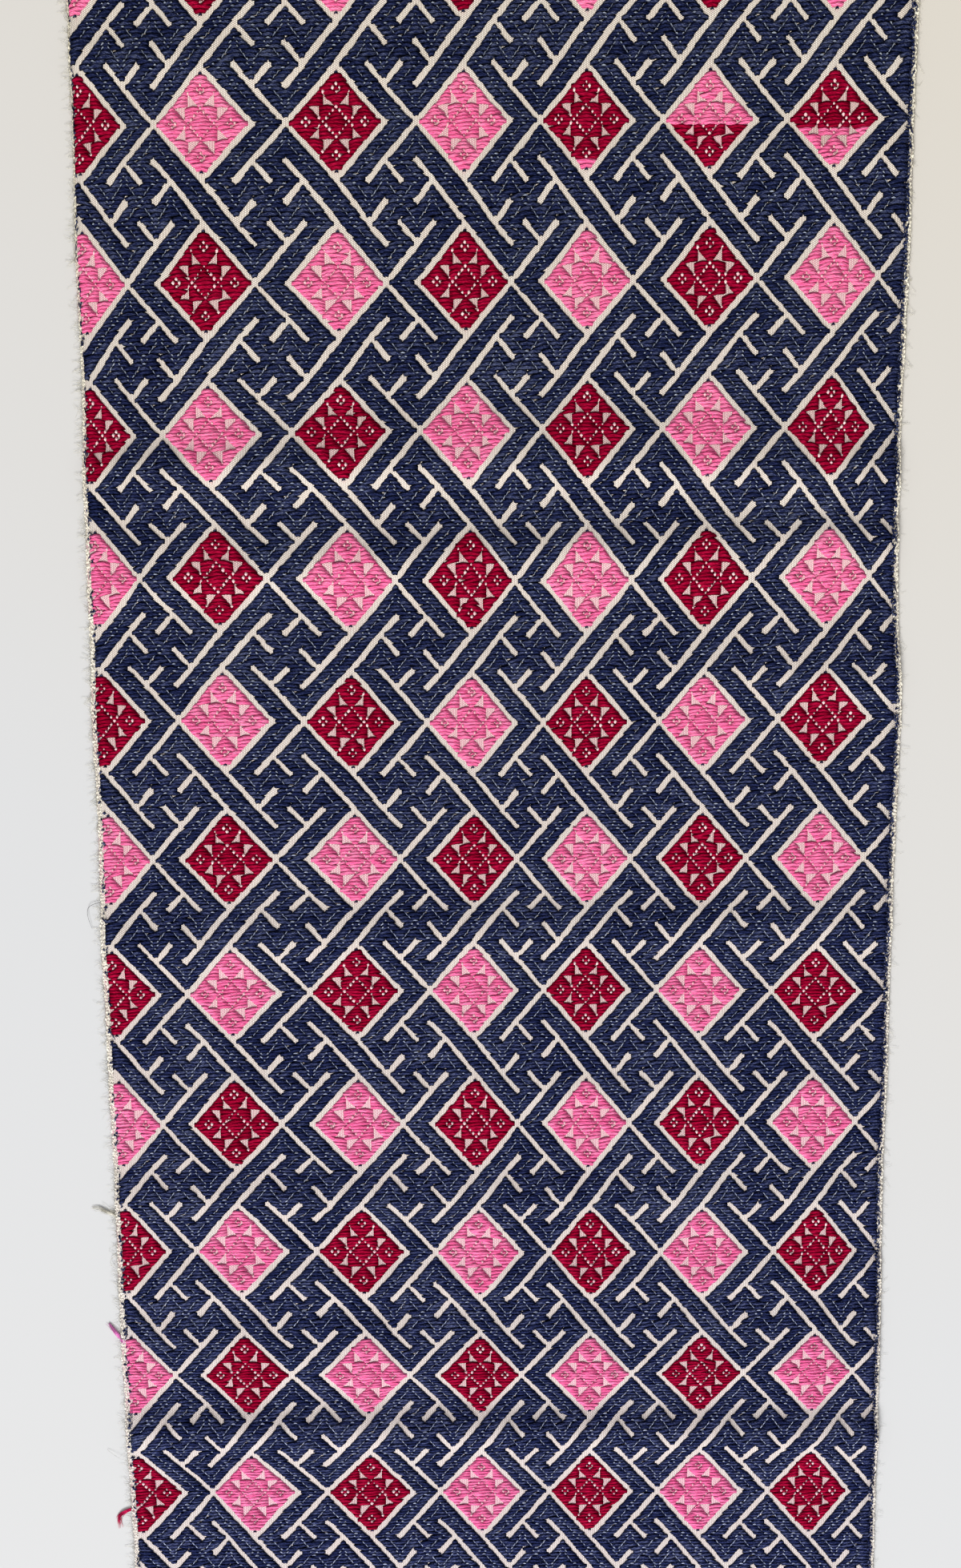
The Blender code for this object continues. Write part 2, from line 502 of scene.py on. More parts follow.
def join_copies(name, places, faces, uv, shade, tip):
    """One mesh from many placed copies. places is copies x corners x 3, in metres."""
    copies, corners = places.shape[:2]
    index = (faces[None] + corners * np.arange(copies)[:, None, None]).reshape(-1)
    mesh = bpy.data.meshes.new(name)
    mesh.vertices.add(copies * corners)
    mesh.vertices.foreach_set("co", places.astype(np.float32).ravel())
    mesh.loops.add(len(index))
    mesh.loops.foreach_set("vertex_index", index.astype(np.int32))
    mesh.polygons.add(len(index) // 3)
    mesh.polygons.foreach_set("loop_start", np.arange(0, len(index), 3, dtype=np.int32))
    mesh.update(calc_edges=True)
    layer = mesh.uv_layers.new(name="along_and_across")
    layer.data.foreach_set("uv", uv.reshape(-1, 2)[index].astype(np.float32).ravel())
    for label, values in (("shade", np.repeat(shade, corners)), ("tip", np.tile(tip, copies))):
        layer = mesh.attributes.new(label, "FLOAT", "POINT")
        layer.data.foreach_set("value", values.astype(np.float32))
    mesh.shade_smooth()
    piece = bpy.data.objects.new(name, mesh)
    bpy.context.scene.collection.objects.link(piece)
    return piece


def lay_floats(name, shape, step, pick, half_steps, half_picks, high, base, tilt, shade, slant=0.0):
    """Set down one spindle per float on the cloth. step and pick are the middle of each float.
    slant is how many steps its left and right end move for each pick towards the near end."""
    corners, faces = shape
    x, y, z = corners[:, 0], corners[:, 1], corners[:, 2]
    down = -half_picks[:, None] * y - BOW * (1.0 - np.abs(x))
    at_step = step[:, None] + half_steps[:, None] * x
    if np.ndim(slant):
        at_step = at_step + down * np.where(x > 0, slant[1][:, None], slant[0][:, None]) * np.abs(x)
    at_pick = pick[:, None] + down - tilt[:, None] * x * half_steps[:, None]
    across, along = to_cloth(at_step, at_pick)
    up = cloth_height(across, along) + base + high[:, None] * z
    places = np.stack([across, along, up], axis=-1) * MM
    middle = across.mean(axis=1, keepdims=True)
    along_float = across - middle + SHADE_SHIFT_MM * shade[:, None]
    uv = np.stack([along_float, np.broadcast_to(y, across.shape)], axis=-1)
    return join_copies(name, places, faces, uv, shade, np.abs(x))

# %% [markdown]
# The dye is uneven. A thread keeps its shade along a pick, and each float turns its plies to the
# light a little differently, so a float's shade is part its pick's and part its own.

# %% Shades and floats on the face
GROUND_BOTTOM_MM, GROUND_TOP_MM = 0.45, 1.10
FLOAT_BASE_MM = GROUND_TOP_MM + 0.20
OVERHANG = 0.47  # steps that a float runs on past its own steps
LONGEST_OVERHANG = 0.58
TIE_OVERLAP = 0.24  # steps by which two floats overlap at a tie
FOLLOW = 0.15  # share of the outline's slant that a float's lean follows
OWN_SHADE = 0.62  # share of a shade that is the float's own
LONG_FLOAT = 3
BORDER_STOP = 0.46
LONE_STITCH = 0.06
NAVY_PARTS = [(FIRST_PICK, 113), (113, 286), (286, LAST_PICK + 1)]


def shades(step, pick):
    """A shade from 0 to 1 for each float."""
    by_pick = rng.normal(0.5, 0.10, PICKS * 16)[pick - FIRST_PICK]
    patch = 0.5 + 0.5 * np.sin(step * 0.071 + pick * 0.043 + 2.0 * np.sin(pick * 0.031))
    shared = 0.7 * by_pick + 0.3 * patch
    mixed = (1.0 - OWN_SHADE) * shared + OWN_SHADE * rng.uniform(0.1, 0.9, len(step))
    return mixed.clip(0.0, 1.0)


def end_slants(thread, first, length, pick):
    """How the left and right ends of each float move, in steps, from one pick to the next."""
    there = np.pad(draft == thread, 3)
    row, left, right = pick - FIRST_PICK + 3, first - FIRST_STEP + 3, first - FIRST_STEP + length + 2
    slants = []
    for end, outward in ((left, -1), (right, 1)):
        moves = []
        for near in (-1, 1):
            move = np.zeros(len(row))
            for shift in (-1, 1):
                edge_here = there[row + near, end + shift] & ~there[row + near, end + shift + outward]
                move = np.where(edge_here, shift, move)
            moves.append(move * near)
        slants.append(0.5 * (moves[0] + moves[1]))
    return np.array(slants)


def tie_reach(first, length, pick):
    """How far each navy float runs on past its left and right end, in steps, and where the ties
    show. At an ecru line it stops after its overhang. At a tie it meets the next float."""
    wide = np.pad(np.cumsum(open_ground, axis=1), ((0, 0), (1, 0)))
    row, start, stop = pick - FIRST_PICK, first - FIRST_STEP, first - FIRST_STEP + length
    same = row[1:] == row[:-1]
    shut = same & (wide[row[1:], start[1:]] == wide[row[:-1], stop[:-1]])
    gap = np.where(shut, start[1:] - stop[:-1], 0)
    in_band = ~np.append(False, shut[:-1]) & ~np.append(shut[1:], False)
    reach = np.where(shut, 0.5 * gap + TIE_OVERLAP, 0.0)
    right = np.append(reach, 0.0)
    left = np.append(0.0, reach)
    open_end = rng.normal(OVERHANG, 0.03, (2, len(first)))
    middle = 0.5 * (first[1:] + first[:-1] + length[:-1] - 1)
    ties = np.array([middle, pick[1:], gap, in_band])[:, shut]
    ends = np.where(left > 0, left, open_end[0]), np.where(right > 0, right, open_end[1])
    return np.array(ends), ties


def face_floats(name, first, length, pick, width, high, lean, reach, slant):
    """Lay the long and the short floats of one thread, and return the pieces."""
    pieces = []
    first, length = first - 0.5 - reach[0], length + reach[0] + reach[1]
    for label, chosen in (("long", length >= LONG_FLOAT), ("short", length < LONG_FLOAT)):
        count = int(chosen.sum())
        if not count:
            continue
        runs = length[chosen]
        step = first[chosen] + 0.5 * runs
        at_pick = pick[chosen] + rng.normal(0.0, 0.06, count)
        thin = np.interp(runs, [1.2, 1.9, 2.5], [0.42, 0.88, 1.0])
        low = np.interp(runs, [1.2, 2, 4, 7], [0.72, 0.9, 1.0, 1.1])
        broad = width * rng.normal(1.0, 0.06, count) * thin
        rise = high * rng.normal(1.0, 0.10, count) * low
        tilt = rng.normal(lean, 0.06, count) - FOLLOW * slant[:, chosen].mean(axis=0)
        tone = shades(step, pick[chosen])
        pieces.append(
            lay_floats(
                f"{name}_{label}", FLOAT_SHAPE, step, at_pick, 0.5 * runs, 0.5 * broad, rise,
                FLOAT_BASE_MM, tilt, tone, slant[:, chosen],
            )
        )
    return pieces


navy_pieces = []
navy_reach, navy_ties = tie_reach(navy_first, navy_long, navy_pick)
navy_slant = end_slants(NAVY, navy_first, navy_long, navy_pick)
at_line = navy_reach < LONGEST_OVERHANG
at_tip = np.abs(fold(navy_pick, PICKS)) == FLOWER_REACH
lone = at_tip & (fold(navy_first, STEPS) == 0) & (navy_long == 1)
navy_reach[:, lone] = LONE_STITCH
for part, (start, stop) in enumerate(NAVY_PARTS, start=1):
    band = (navy_pick >= start) & (navy_pick < stop)
    navy_pieces += face_floats(
        f"navy_floats_{part}", navy_first[band], navy_long[band], navy_pick[band], 1.40, 0.66, 0.05,
        navy_reach[:, band], (navy_slant * at_line)[:, band],
    )


def eye_opening(step, pick):
    """How far each gap of one step stays open, in steps: only round the eyes of the petals, and
    more in pink flowers, whose threads are slacker."""
    eye = from_petals(fold(step, STEPS), fold(pick, PICKS)).min(axis=0) == 1
    flower = np.rint(step / STEPS).astype(int) + 20 * np.rint(pick / PICKS).astype(int)
    by_flower = rng.uniform(-0.15, 0.15, 400)[flower % 400]
    slack = np.where(flower_colours(step, pick) == PINK, 0.62, 0.34) + by_flower
    return np.where(eye, slack, 0.0)


def flower_reaches():
    """Flower floats meet over a gap of one step, swell a little into the ground inside the flower,
    and stop short at its ecru border. Also gives the places of the gaps of one step."""
    start, stop = flower_first, flower_first + flower_long
    same = flower_pick[1:] == flower_pick[:-1]
    gap = np.where(same, start[1:] - stop[:-1], 99)
    opening = eye_opening(flower_first[1:] - 1, flower_pick[1:])
    closed = 0.56 - 0.5 * opening
    swell = np.where(flower_colour[1:] == CRIMSON, 0.66, 0.38)
    reach = np.where(gap == 1, closed, np.where(gap < 9, swell, BORDER_STOP))
    both = np.array([np.append(BORDER_STOP, reach), np.append(reach, BORDER_STOP)])
    ties = np.array([flower_first[1:] - 1.0, flower_pick[1:], gap, np.zeros(len(gap))])[:, gap == 1]
    return both + rng.normal(0.0, 0.03, both.shape), ties


def tie_leans(ties):
    """How each navy tie leans, so that the ties of one line join into a thin zigzag."""
    tied = np.pad((draft != NAVY) & ~open_ground, 1).astype(int)
    row = (ties[1] - FIRST_PICK + 1).astype(int)
    column = np.rint(ties[0] - FIRST_STEP + 1).astype(int)
    falls = tied[row + 1, column + 1] + tied[row - 1, column - 1]
    rises = tied[row - 1, column + 1] + tied[row + 1, column - 1]
    return np.where(ties[2] == 1, 0.5 * (rises - falls), 0.0)


def stitches(name, ties, half_steps, half_picks, high, lean, tone, spread):
    """The warp threads that hold the floats down, where they show. A wide tie shows as a thin
    line, a narrow one as a dot, and a tie in a band between two ecru lines is smaller."""
    count = ties.shape[1]
    step, pick = ties[0] + rng.normal(0.0, 0.04, count), ties[1] - 0.5 * BOW
    size = np.where(ties[3] > 0, 0.84, 1.0) * rng.uniform(1.0 - spread, 1.0 + spread, count)
    wide = np.where(ties[2] > 1, 2.2, 1.0) * half_steps * size
    tall = half_picks * size
    rise = high * (0.5 + 0.5 * size)
    tones = tone * rng.uniform(0.4, 1.0, count)
    leans = lean + np.zeros(count)
    return lay_floats(name, BEAD, step, pick, wide, tall, rise, FLOAT_BASE_MM, leans, tones)


flower_reach, flower_ties = flower_reaches()
flower_slant = end_slants(FLOWER, flower_first, flower_long, flower_pick)
flower_pieces = {}
for colour, name in ((CRIMSON, "crimson_floats"), (PINK, "pink_floats")):
    own = flower_colour == colour
    flower_pieces[colour] = face_floats(
        name, flower_first[own], flower_long[own], flower_pick[own], 1.46, 0.50, 0.03,
        flower_reach[:, own], flower_slant[:, own],
    )
tie_stitches = stitches("tie_stitches", navy_ties, 0.60, 0.29, 0.66, tie_leans(navy_ties), 1.0, 0.12)
on_pink = flower_colours(flower_ties[0], flower_ties[1].astype(int)) == PINK
stitch_steps, stitch_tone = np.where(on_pink, 0.42, 0.52), np.where(on_pink, 0.3, 1.6)
flower_stitches = stitches(
    "flower_stitches", flower_ties, stitch_steps, 0.55, 0.46, 0.0, stitch_tone, 0.40
)
for piece in navy_pieces + [tie_stitches, flower_stitches]:
    print(piece.name, "has", len(piece.data.polygons), "faces")

# %% [markdown]
# The ground is one thin sheet. It is a grid in steps and picks, so its threads bend with the pattern,
# and a Solidify modifier gives it its body. Its UV map counts threads, two warps for each step, so
# the weave in the material stays tied to the draft.

# %% The ground sheet
SHEET_ACROSS, SHEET_ALONG = 44, 216
LEFT_STEP, RIGHT_STEP = FIRST_STEP - 0.5 - SELVEDGE_STEPS, LAST_STEP + 0.5 + SELVEDGE_STEPS
FAR_PICK, NEAR_PICK = -72.5, 471.5


def ground_sheet():
    """The ecru ground, selvedge to selvedge and end to end."""
    body = bmesh.new()
    bmesh.ops.create_grid(body, x_segments=SHEET_ACROSS, y_segments=SHEET_ALONG, size=1.0)
    verts = list(body.verts)
    unit = np.array([vert.co for vert in verts])
    step = LEFT_STEP + (unit[:, 0] + 1.0) * 0.5 * (RIGHT_STEP - LEFT_STEP)
    pick = FAR_PICK + (1.0 - unit[:, 1]) * 0.5 * (NEAR_PICK - FAR_PICK)
    across, along = to_cloth(step, pick)
    up = cloth_height(across, along) + GROUND_BOTTOM_MM
    layer = body.loops.layers.uv.new("threads")
    for number, vert in enumerate(verts):
        vert.co = Vector((across[number] * MM, along[number] * MM, up[number] * MM))
        for loop in vert.link_loops:
            loop[layer].uv = (step[number], -pick[number])
    mesh = bpy.data.meshes.new("ground_weave")
    body.to_mesh(mesh)
    body.free()
    mesh.shade_smooth()
    piece = bpy.data.objects.new("ground_weave", mesh)
    bpy.context.scene.collection.objects.link(piece)
    solid = piece.modifiers.new("cloth thickness", "SOLIDIFY")
    solid.thickness = (GROUND_TOP_MM - GROUND_BOTTOM_MM) * MM
    solid.offset = 1.0
    return piece


ground = ground_sheet()
print("ground sheet:", len(ground.data.polygons), "cells")

# %% [markdown]
# On the back the coloured threads travel wherever they don't show on the face: navy behind the ecru
# lines and the flowers, flower colour behind the ground inside each flower. The back is seldom seen,
# so its short floats are plain beads and only the long ones get a full shape.

# %% Floats on the back
LONG_BACK_FLOAT = 6
back_navy = find_floats(draft != NAVY, True)
back_flower = find_floats((reach <= FLOWER_REACH) & (draft != FLOWER), True)


def back_floats(name, floats, shortest, high):
    """Lay the floats of one thread on the underside."""
    first, length, pick = floats
    pieces = []
    is_long = length > LONG_BACK_FLOAT
    for label, chosen, shape, steady in (
        ("long", is_long, BACK_SHAPE, 0.3),
        ("short", ~is_long & (length >= shortest), BEAD, 1.0),
    ):
        count = int(chosen.sum())
        if not count:
            continue
        step = first[chosen] + 0.5 * (length[chosen] - 1)
        half = 0.5 * length[chosen] + OVERHANG
        ones = np.ones(count)
        tilt = rng.normal(0.0, 0.03, count) * steady
        tone = shades(step, pick[chosen])
        pieces.append(
            lay_floats(
                f"{name}_{label}", shape, step, pick[chosen], half, 0.55 * ones, high * ones,
                GROUND_BOTTOM_MM, tilt, tone,
            )
        )
    return pieces


back_navy_pieces = back_floats("navy_back", back_navy, 3, 0.40)
back_colour = flower_colours(back_flower[0] + 0.5 * (back_flower[1] - 1), back_flower[2])
back_flower_pieces = {}
for colour, name in ((CRIMSON, "crimson_back"), (PINK, "pink_back")):
    own = back_colour == colour
    back_flower_pieces[colour] = back_floats(name, [values[own] for values in back_flower], 2, 0.38)
print("back pieces:", [(piece.name, len(piece.data.polygons)) for piece in back_navy_pieces])

# %% [markdown]
# At each selvedge the ground weft turns round a few bare warps, which lie there loosely. They show as
# beads in four uneven columns along the warp. The navy thread turns just inside them, and its turns
# are dark beads between strip and pattern that stray out over the strip.

# %% Selvedges
BEAD_BASE_MM = GROUND_TOP_MM - 0.05


def selvedge_beads(name, picks, offsets, half_steps, half_picks, high, keep, stray):
    """Beads along both selvedges, at the given steps outside the pattern. keep is the share of
    picks that show one, for the left and the right selvedge."""
    places = []
    for side, line, shown in ((-1, FIRST_STEP - 0.5, keep[0]), (1, LAST_STEP + 0.5, keep[1])):
        for offset in offsets:
            pick = np.arange(picks[0], picks[1], 1.0)
            pick = pick[rng.uniform(0.0, 1.0, len(pick)) < shown]
            wave = 0.5 * stray * np.sin(pick * 0.37 + 5.0 * offset + side)
            step = line + side * (offset + wave + rng.normal(0.0, 0.5 * stray, len(pick)))
            places.append((step, pick + rng.normal(0.0, 0.18, len(pick))))
    step, pick = (np.concatenate([place[axis] for place in places]) for axis in (0, 1))
    count = len(step)
    wide = half_steps * rng.uniform(0.6, 1.4, count)
    tall = half_picks * rng.uniform(0.6, 1.3, count)
    rise = np.minimum(high * rng.normal(1.0, 0.2, count), BEAD_BASE_MM - 0.05)
    lean = rng.normal(0.0, 0.9, count)
    tone = rng.uniform(0.0, 1.0, count)
    return lay_floats(name, BEAD, step, pick, wide, tall, rise, BEAD_BASE_MM, lean, tone)


navy_turns = selvedge_beads(
    "navy_turns", (FIRST_PICK, LAST_PICK), (0.05, 0.50, 0.90), 0.62, 0.55, 1.10, (0.25, 0.80), 0.30
)
ecru_turns = selvedge_beads(
    "ecru_turns", (FAR_PICK + 1.0, NEAR_PICK - 1.0), (0.62, 1.0, 1.4, 1.8), 0.36, 0.86, 0.30,
    (0.94, 0.94), 0.16,
)
print("selvedge beads:", len(navy_turns.data.polygons) + len(ecru_turns.data.polygons), "faces")

# %% [markdown]
# Loose fibre stands out along both selvedges and at the cut ends, and a few thread ends were never
# trimmed. Every one of them is a thin rod with four sides, bent along its path and tapered to its
# tip. A tuft is a bundle of such rods that spread from one root. The places of thread ends and tufts
# were measured, and the single fibres are scattered by chance.

# %% Loose fibre, thread ends and tufts
FIBRE_SIDES = 4
TIP_WIDTH = 0.35
FIBRE_POINTS, TUFT_POINTS, THREAD_POINTS = 3, 9, 24
UPWARD = np.array([0.0, 0.0, 1.0])
share = np.linspace(0.0, 1.0, FIBRE_POINTS)


def tubes(name, paths, radius):
    """Closed thin tubes along paths. paths is tubes x points x 3, in millimetres."""
    points = paths.shape[1]
    corners, faces = rod(FIBRE_SIDES, points)
    ahead = np.gradient(paths, axis=1)
    flat = np.stack([-ahead[..., 1], ahead[..., 0], np.zeros(ahead.shape[:2])], axis=-1)
    beside = flat / np.maximum(np.linalg.norm(flat, axis=-1, keepdims=True), 1e-9)
    width = radius[:, None] * np.linspace(1.0, TIP_WIDTH, points)
    along = 0.5 * (corners[:, 0] + 1.0)
    ring = np.rint(along * (points - 1)).astype(int)
    off = corners[:, 1, None] * beside[:, ring] + corners[:, 2, None] * UPWARD
    places = (paths[:, ring] + width[:, ring, None] * off) * MM
    length = np.linalg.norm(np.diff(paths, axis=1), axis=-1).sum(axis=1)
    round_it = np.broadcast_to(0.5 * corners[:, 1], places.shape[:2])
    uv = np.stack([length[:, None] * along, round_it], axis=-1)
    return join_copies(name, places, faces, uv, rng.uniform(0.0, 1.0, len(paths)), 0.5 * along)


def over_floor(across, along, height):
    """Height that stays on the cloth over it and sinks to the surface beyond it."""
    beyond = np.maximum(edge(along, 1) - across, across - edge(along, 2))
    on_cloth = np.clip(1.0 - beyond / 0.8, 0.0, 1.0)
    return height + (cloth_height(across, along) + GROUND_TOP_MM - 0.2) * on_cloth


def arching(height, way):
    """Heights of a fibre that rises from its root and comes down to its tip."""
    return height * (0.4 + 0.6 * np.sin(math.pi * way))


def fringe(name, root_x, root_y, out_x, out_y, lengths, radius):
    """Short bent fibres from many roots, each pointing outwards with a scatter."""
    count = len(root_x)
    angle = rng.normal(0.0, 0.75, count)
    aim_x = out_x * np.cos(angle) - out_y * np.sin(angle)
    aim_y = out_x * np.sin(angle) + out_y * np.cos(angle)
    curl = rng.normal(0.0, 0.30, count) * lengths
    across = root_x[:, None] + (aim_x * lengths)[:, None] * share - (aim_y * curl)[:, None] * share**2
    along = root_y[:, None] + (aim_y * lengths)[:, None] * share + (aim_x * curl)[:, None] * share**2
    up = over_floor(across, along, arching(rng.uniform(0.10, 0.45, count)[:, None], share))
    return tubes(name, np.stack([across, along, up], axis=-1), radius)


def selvedge_fibres(count):
    """Fibres along both selvedges, more and longer ones on the left."""
    side = rng.choice([-1.0, 1.0], count, p=[0.68, 0.32])
    along = rng.uniform(-414.0, 414.0, count)
    inside_mm = rng.uniform(-0.1, 0.6, count)
    across = np.where(side < 0, edge(along, 1) + inside_mm, edge(along, 2) - inside_mm)
    lengths = np.clip(rng.exponential(1.2, count) * np.where(side < 0, 1.5, 1.0), 0.5, 5.0)
    radius = rng.uniform(0.04, 0.08, count)
    return fringe("selvedge_fibres", across, along, side, np.zeros(count), lengths, radius)


fibres = selvedge_fibres(6500)


def cut_end_fibres(count):
    """Short ends of warp and fibre at the two cut ends."""
    side = rng.choice([-1.0, 1.0], count)
    step = rng.uniform(LEFT_STEP + 0.3, RIGHT_STEP - 0.3, count)
    across, along = to_cloth(step, np.where(side > 0, FAR_PICK, NEAR_PICK))
    lengths = np.clip(rng.normal(1.0, 0.4, count), 0.4, 2.2)
    radius = rng.uniform(0.05, 0.12, count)
    return fringe("cut_end_fibres", across, along - 0.3 * side, np.zeros(count), side, lengths, radius)


end_fibres = cut_end_fibres(900)

THREAD_ENDS_MM = [
    # name, thickness, way points (across, along) from the cloth outwards
    ("grey_thread_end", 0.26, [(-177.8, -22.1), (-183.0, -24.2), (-183.9, -28.3), (-182.4, -34.2)]),
    ("white_loop", 0.22, [(-177.7, -189.5), (-181.2, -191.5), (-180.6, -195.0), (-177.3, -196.6)]),
    ("white_thread_end", 0.14, [(-176.6, -279.6), (-179.0, -282.0), (-178.3, -284.5)]),
    ("thin_thread_end", 0.12, [(-187.6, -286.9), (-181.7, -291.0), (-174.2, -293.9)]),
    ("dark_thread_end", 0.20, [(174.2, 335.4), (176.3, 333.5), (176.7, 329.4)]),
    ("top_fibre_end", 0.12, [(-171.9, 348.3), (-174.0, 346.5), (-173.5, 343.7), (-172.0, 332.7)]),
]
TUFTS_MM = [
    # name, fibres, spread at the root and at the tip, way points from the cloth outwards
    ("pink_tuft", 60, 1.0, 0.6, [(-176.6, -231.0), (-179.6, -229.2), (-182.0, -226.0), (-184.0, -223.0)]),
    ("crimson_tuft", 36, 0.8, 1.5, [(-176.6, -317.0), (-180.5, -318.6), (-183.6, -321.5), (-183.3, -326.9)]),
    ("white_fluff", 18, 0.6, 1.8, [(-176.6, -170.0), (-181.5, -168.6), (-186.0, -166.6), (-190.8, -167.1)]),
]


def smooth_path(points, way):
    """Places on a smooth curve through a few points, where way goes from 0 to 1."""
    table = np.array(points)
    place = way * (len(table) - 1.0)
    return np.stack([smooth_rows(table[:, 0], place), smooth_rows(table[:, 1], place)], axis=-1)


def thread_end(name, thickness, points):
    """One loose thread end."""
    way = np.linspace(0.0, 1.0, THREAD_POINTS)
    path = smooth_path(points, way)
    lift = 0.5 * thickness + 0.6 * np.sin(math.pi * way)
    place = np.column_stack([path, over_floor(path[:, 0], path[:, 1], lift)])
    return tubes(name, place[None], np.array([0.5 * thickness]))


def tuft(name, count, root, tip, points):
    """A bundle of fibres that spread from one root."""
    way = np.linspace(0.0, 1.0, TUFT_POINTS)
    spread = root + (tip - root) * way**1.5
    off = rng.normal(0.0, 0.45, (count, 1, 2)) * spread[None, :, None]
    curl = rng.normal(0.0, 0.35, (count, 1, 2)) * (way**2)[None, :, None]
    reach = rng.uniform(0.55, 1.0, count)
    middle = smooth_path(points, reach[:, None] * way)
    flat = middle + off + curl
    up = over_floor(flat[..., 0], flat[..., 1], arching(rng.uniform(0.1, 0.5, (count, 1)), way[None]))
    return tubes(name, np.concatenate([flat, up[..., None]], axis=-1), rng.uniform(0.10, 0.20, count))


thread_ends = {row[0]: thread_end(*row) for row in THREAD_ENDS_MM}
tufts = {row[0]: tuft(*row) for row in TUFTS_MM}
print("thread ends:", list(thread_ends), "tufts:", list(tufts))

# %% [markdown]
# Several finishes share an effect, so each effect is a node group with named inputs and outputs:
# the tabby weave of the ground, the plies of a laid thread, and the fine fibre of spun cotton. Small
# helpers make a group's sockets, and add one node each and wire its inputs.

# %% Node helpers
def start_group(name, inputs, outputs):
    """A shader node group with named sockets. inputs has name, socket type and default value."""
    group = bpy.data.node_groups.new(name, "ShaderNodeTree")
    for label, kind, value in inputs:
        socket = group.interface.new_socket(name=label, in_out="INPUT", socket_type=kind)
        if value is not None:
            socket.default_value = value
    for label, kind in outputs:
        group.interface.new_socket(name=label, in_out="OUTPUT", socket_type=kind)
    return group, group.nodes.new("NodeGroupInput").outputs, group.nodes.new("NodeGroupOutput").inputs


def put(target, socket, value):
    """Set a socket to a number, or link it to another socket."""
    if isinstance(value, bpy.types.NodeSocket):
        target.links.new(value, socket)
    else:
        socket.default_value = value


def reckon(tree, kind, operation, values):
    """A node that does one operation on its inputs, and its output."""
    node = tree.nodes.new(kind)
    node.operation = operation
    for socket, value in zip(node.inputs, values):
        put(tree, socket, value)
    return node.outputs[0]


def maths(tree, operation, *values):
    """A Math node's output."""
    return reckon(tree, "ShaderNodeMath", operation, values)


def vectors(tree, operation, *values):
    """A Vector Math node's output."""
    return reckon(tree, "ShaderNodeVectorMath", operation, values)


def mixed(tree, *parts):
    """Sum of values, each times its own weight. parts are (value, weight)."""
    total = None
    for value, weight in parts:
        weighted = maths(tree, "MULTIPLY", value, weight)
        total = weighted if total is None else maths(tree, "ADD", total, weighted)
    return total


def split(tree, vector):
    """The X, Y and Z outputs of a vector, by name."""
    node = tree.nodes.new("ShaderNodeSeparateXYZ")
    put(tree, node.inputs[0], vector)
    return node.outputs


def join(tree, kind, values):
    """A vector or a colour from separate values, in order."""
    node = tree.nodes.new(kind)
    for socket, value in zip(node.inputs, values):
        put(tree, socket, value)
    return node.outputs[0]


def noise(tree, place, scale, detail=2.0, roughness=0.5):
    """A Noise Texture node, and its grey output."""
    node = tree.nodes.new("ShaderNodeTexNoise")
    put(tree, node.inputs["Vector"], place)
    node.inputs["Scale"].default_value = scale
    node.inputs["Detail"].default_value = detail
    node.inputs["Roughness"].default_value = roughness
    return node.outputs["Fac"]


def stretch(tree, value, low, high, to_low, to_high):
    """Map one range of numbers to another, clamped."""
    node = tree.nodes.new("ShaderNodeMapRange")
    for socket, number in zip(node.inputs, (value, low, high, to_low, to_high)):
        put(tree, socket, number)
    return node.outputs[0]


def ramp(tree, value, stops):
    """A Color Ramp through (place, colour) stops, and its colour output."""
    node = tree.nodes.new("ShaderNodeValToRGB")
    put(tree, node.inputs[0], value)
    bar = node.color_ramp.elements
    while len(bar) < len(stops):
        bar.new(0.5)
    for element, (place, colour) in zip(bar, stops):
        element.position = place
        element.color = colour
    return node.outputs[0]


def blend_colours(tree, factor, first, second, mode="MIX"):
    """A Mix node for colours, and its output."""
    node = tree.nodes.new("ShaderNodeMix")
    node.data_type = "RGBA"
    node.blend_type = mode
    put(tree, node.inputs["Factor"], factor)
    put(tree, node.inputs["A"], first)
    put(tree, node.inputs["B"], second)
    return node.outputs["Result"]


def dye(red, green, blue):
    """A colour given in the 0 to 255 numbers of a screen, as Blender's linear colour."""
    parts = [value / 255.0 for value in (red, green, blue)]
    return tuple(p / 12.92 if p <= 0.04045 else ((p + 0.055) / 1.055) ** 2.4 for p in parts) + (1.0,)

# %% [markdown]
# The ground is a tabby: each ground pick goes over one warp and under the next. On the real cloth
# the warps stand up as fine ribs, and each rib is a row of small beads. The group draws one arch for
# each warp and shifts the beads of every other warp by half a pick. It puts out a height and a gap.

# %% Effect: tabby weave
WARPS_PER_STEP = 2.0
GROUND_PICKS_PER_PICK = 2.0


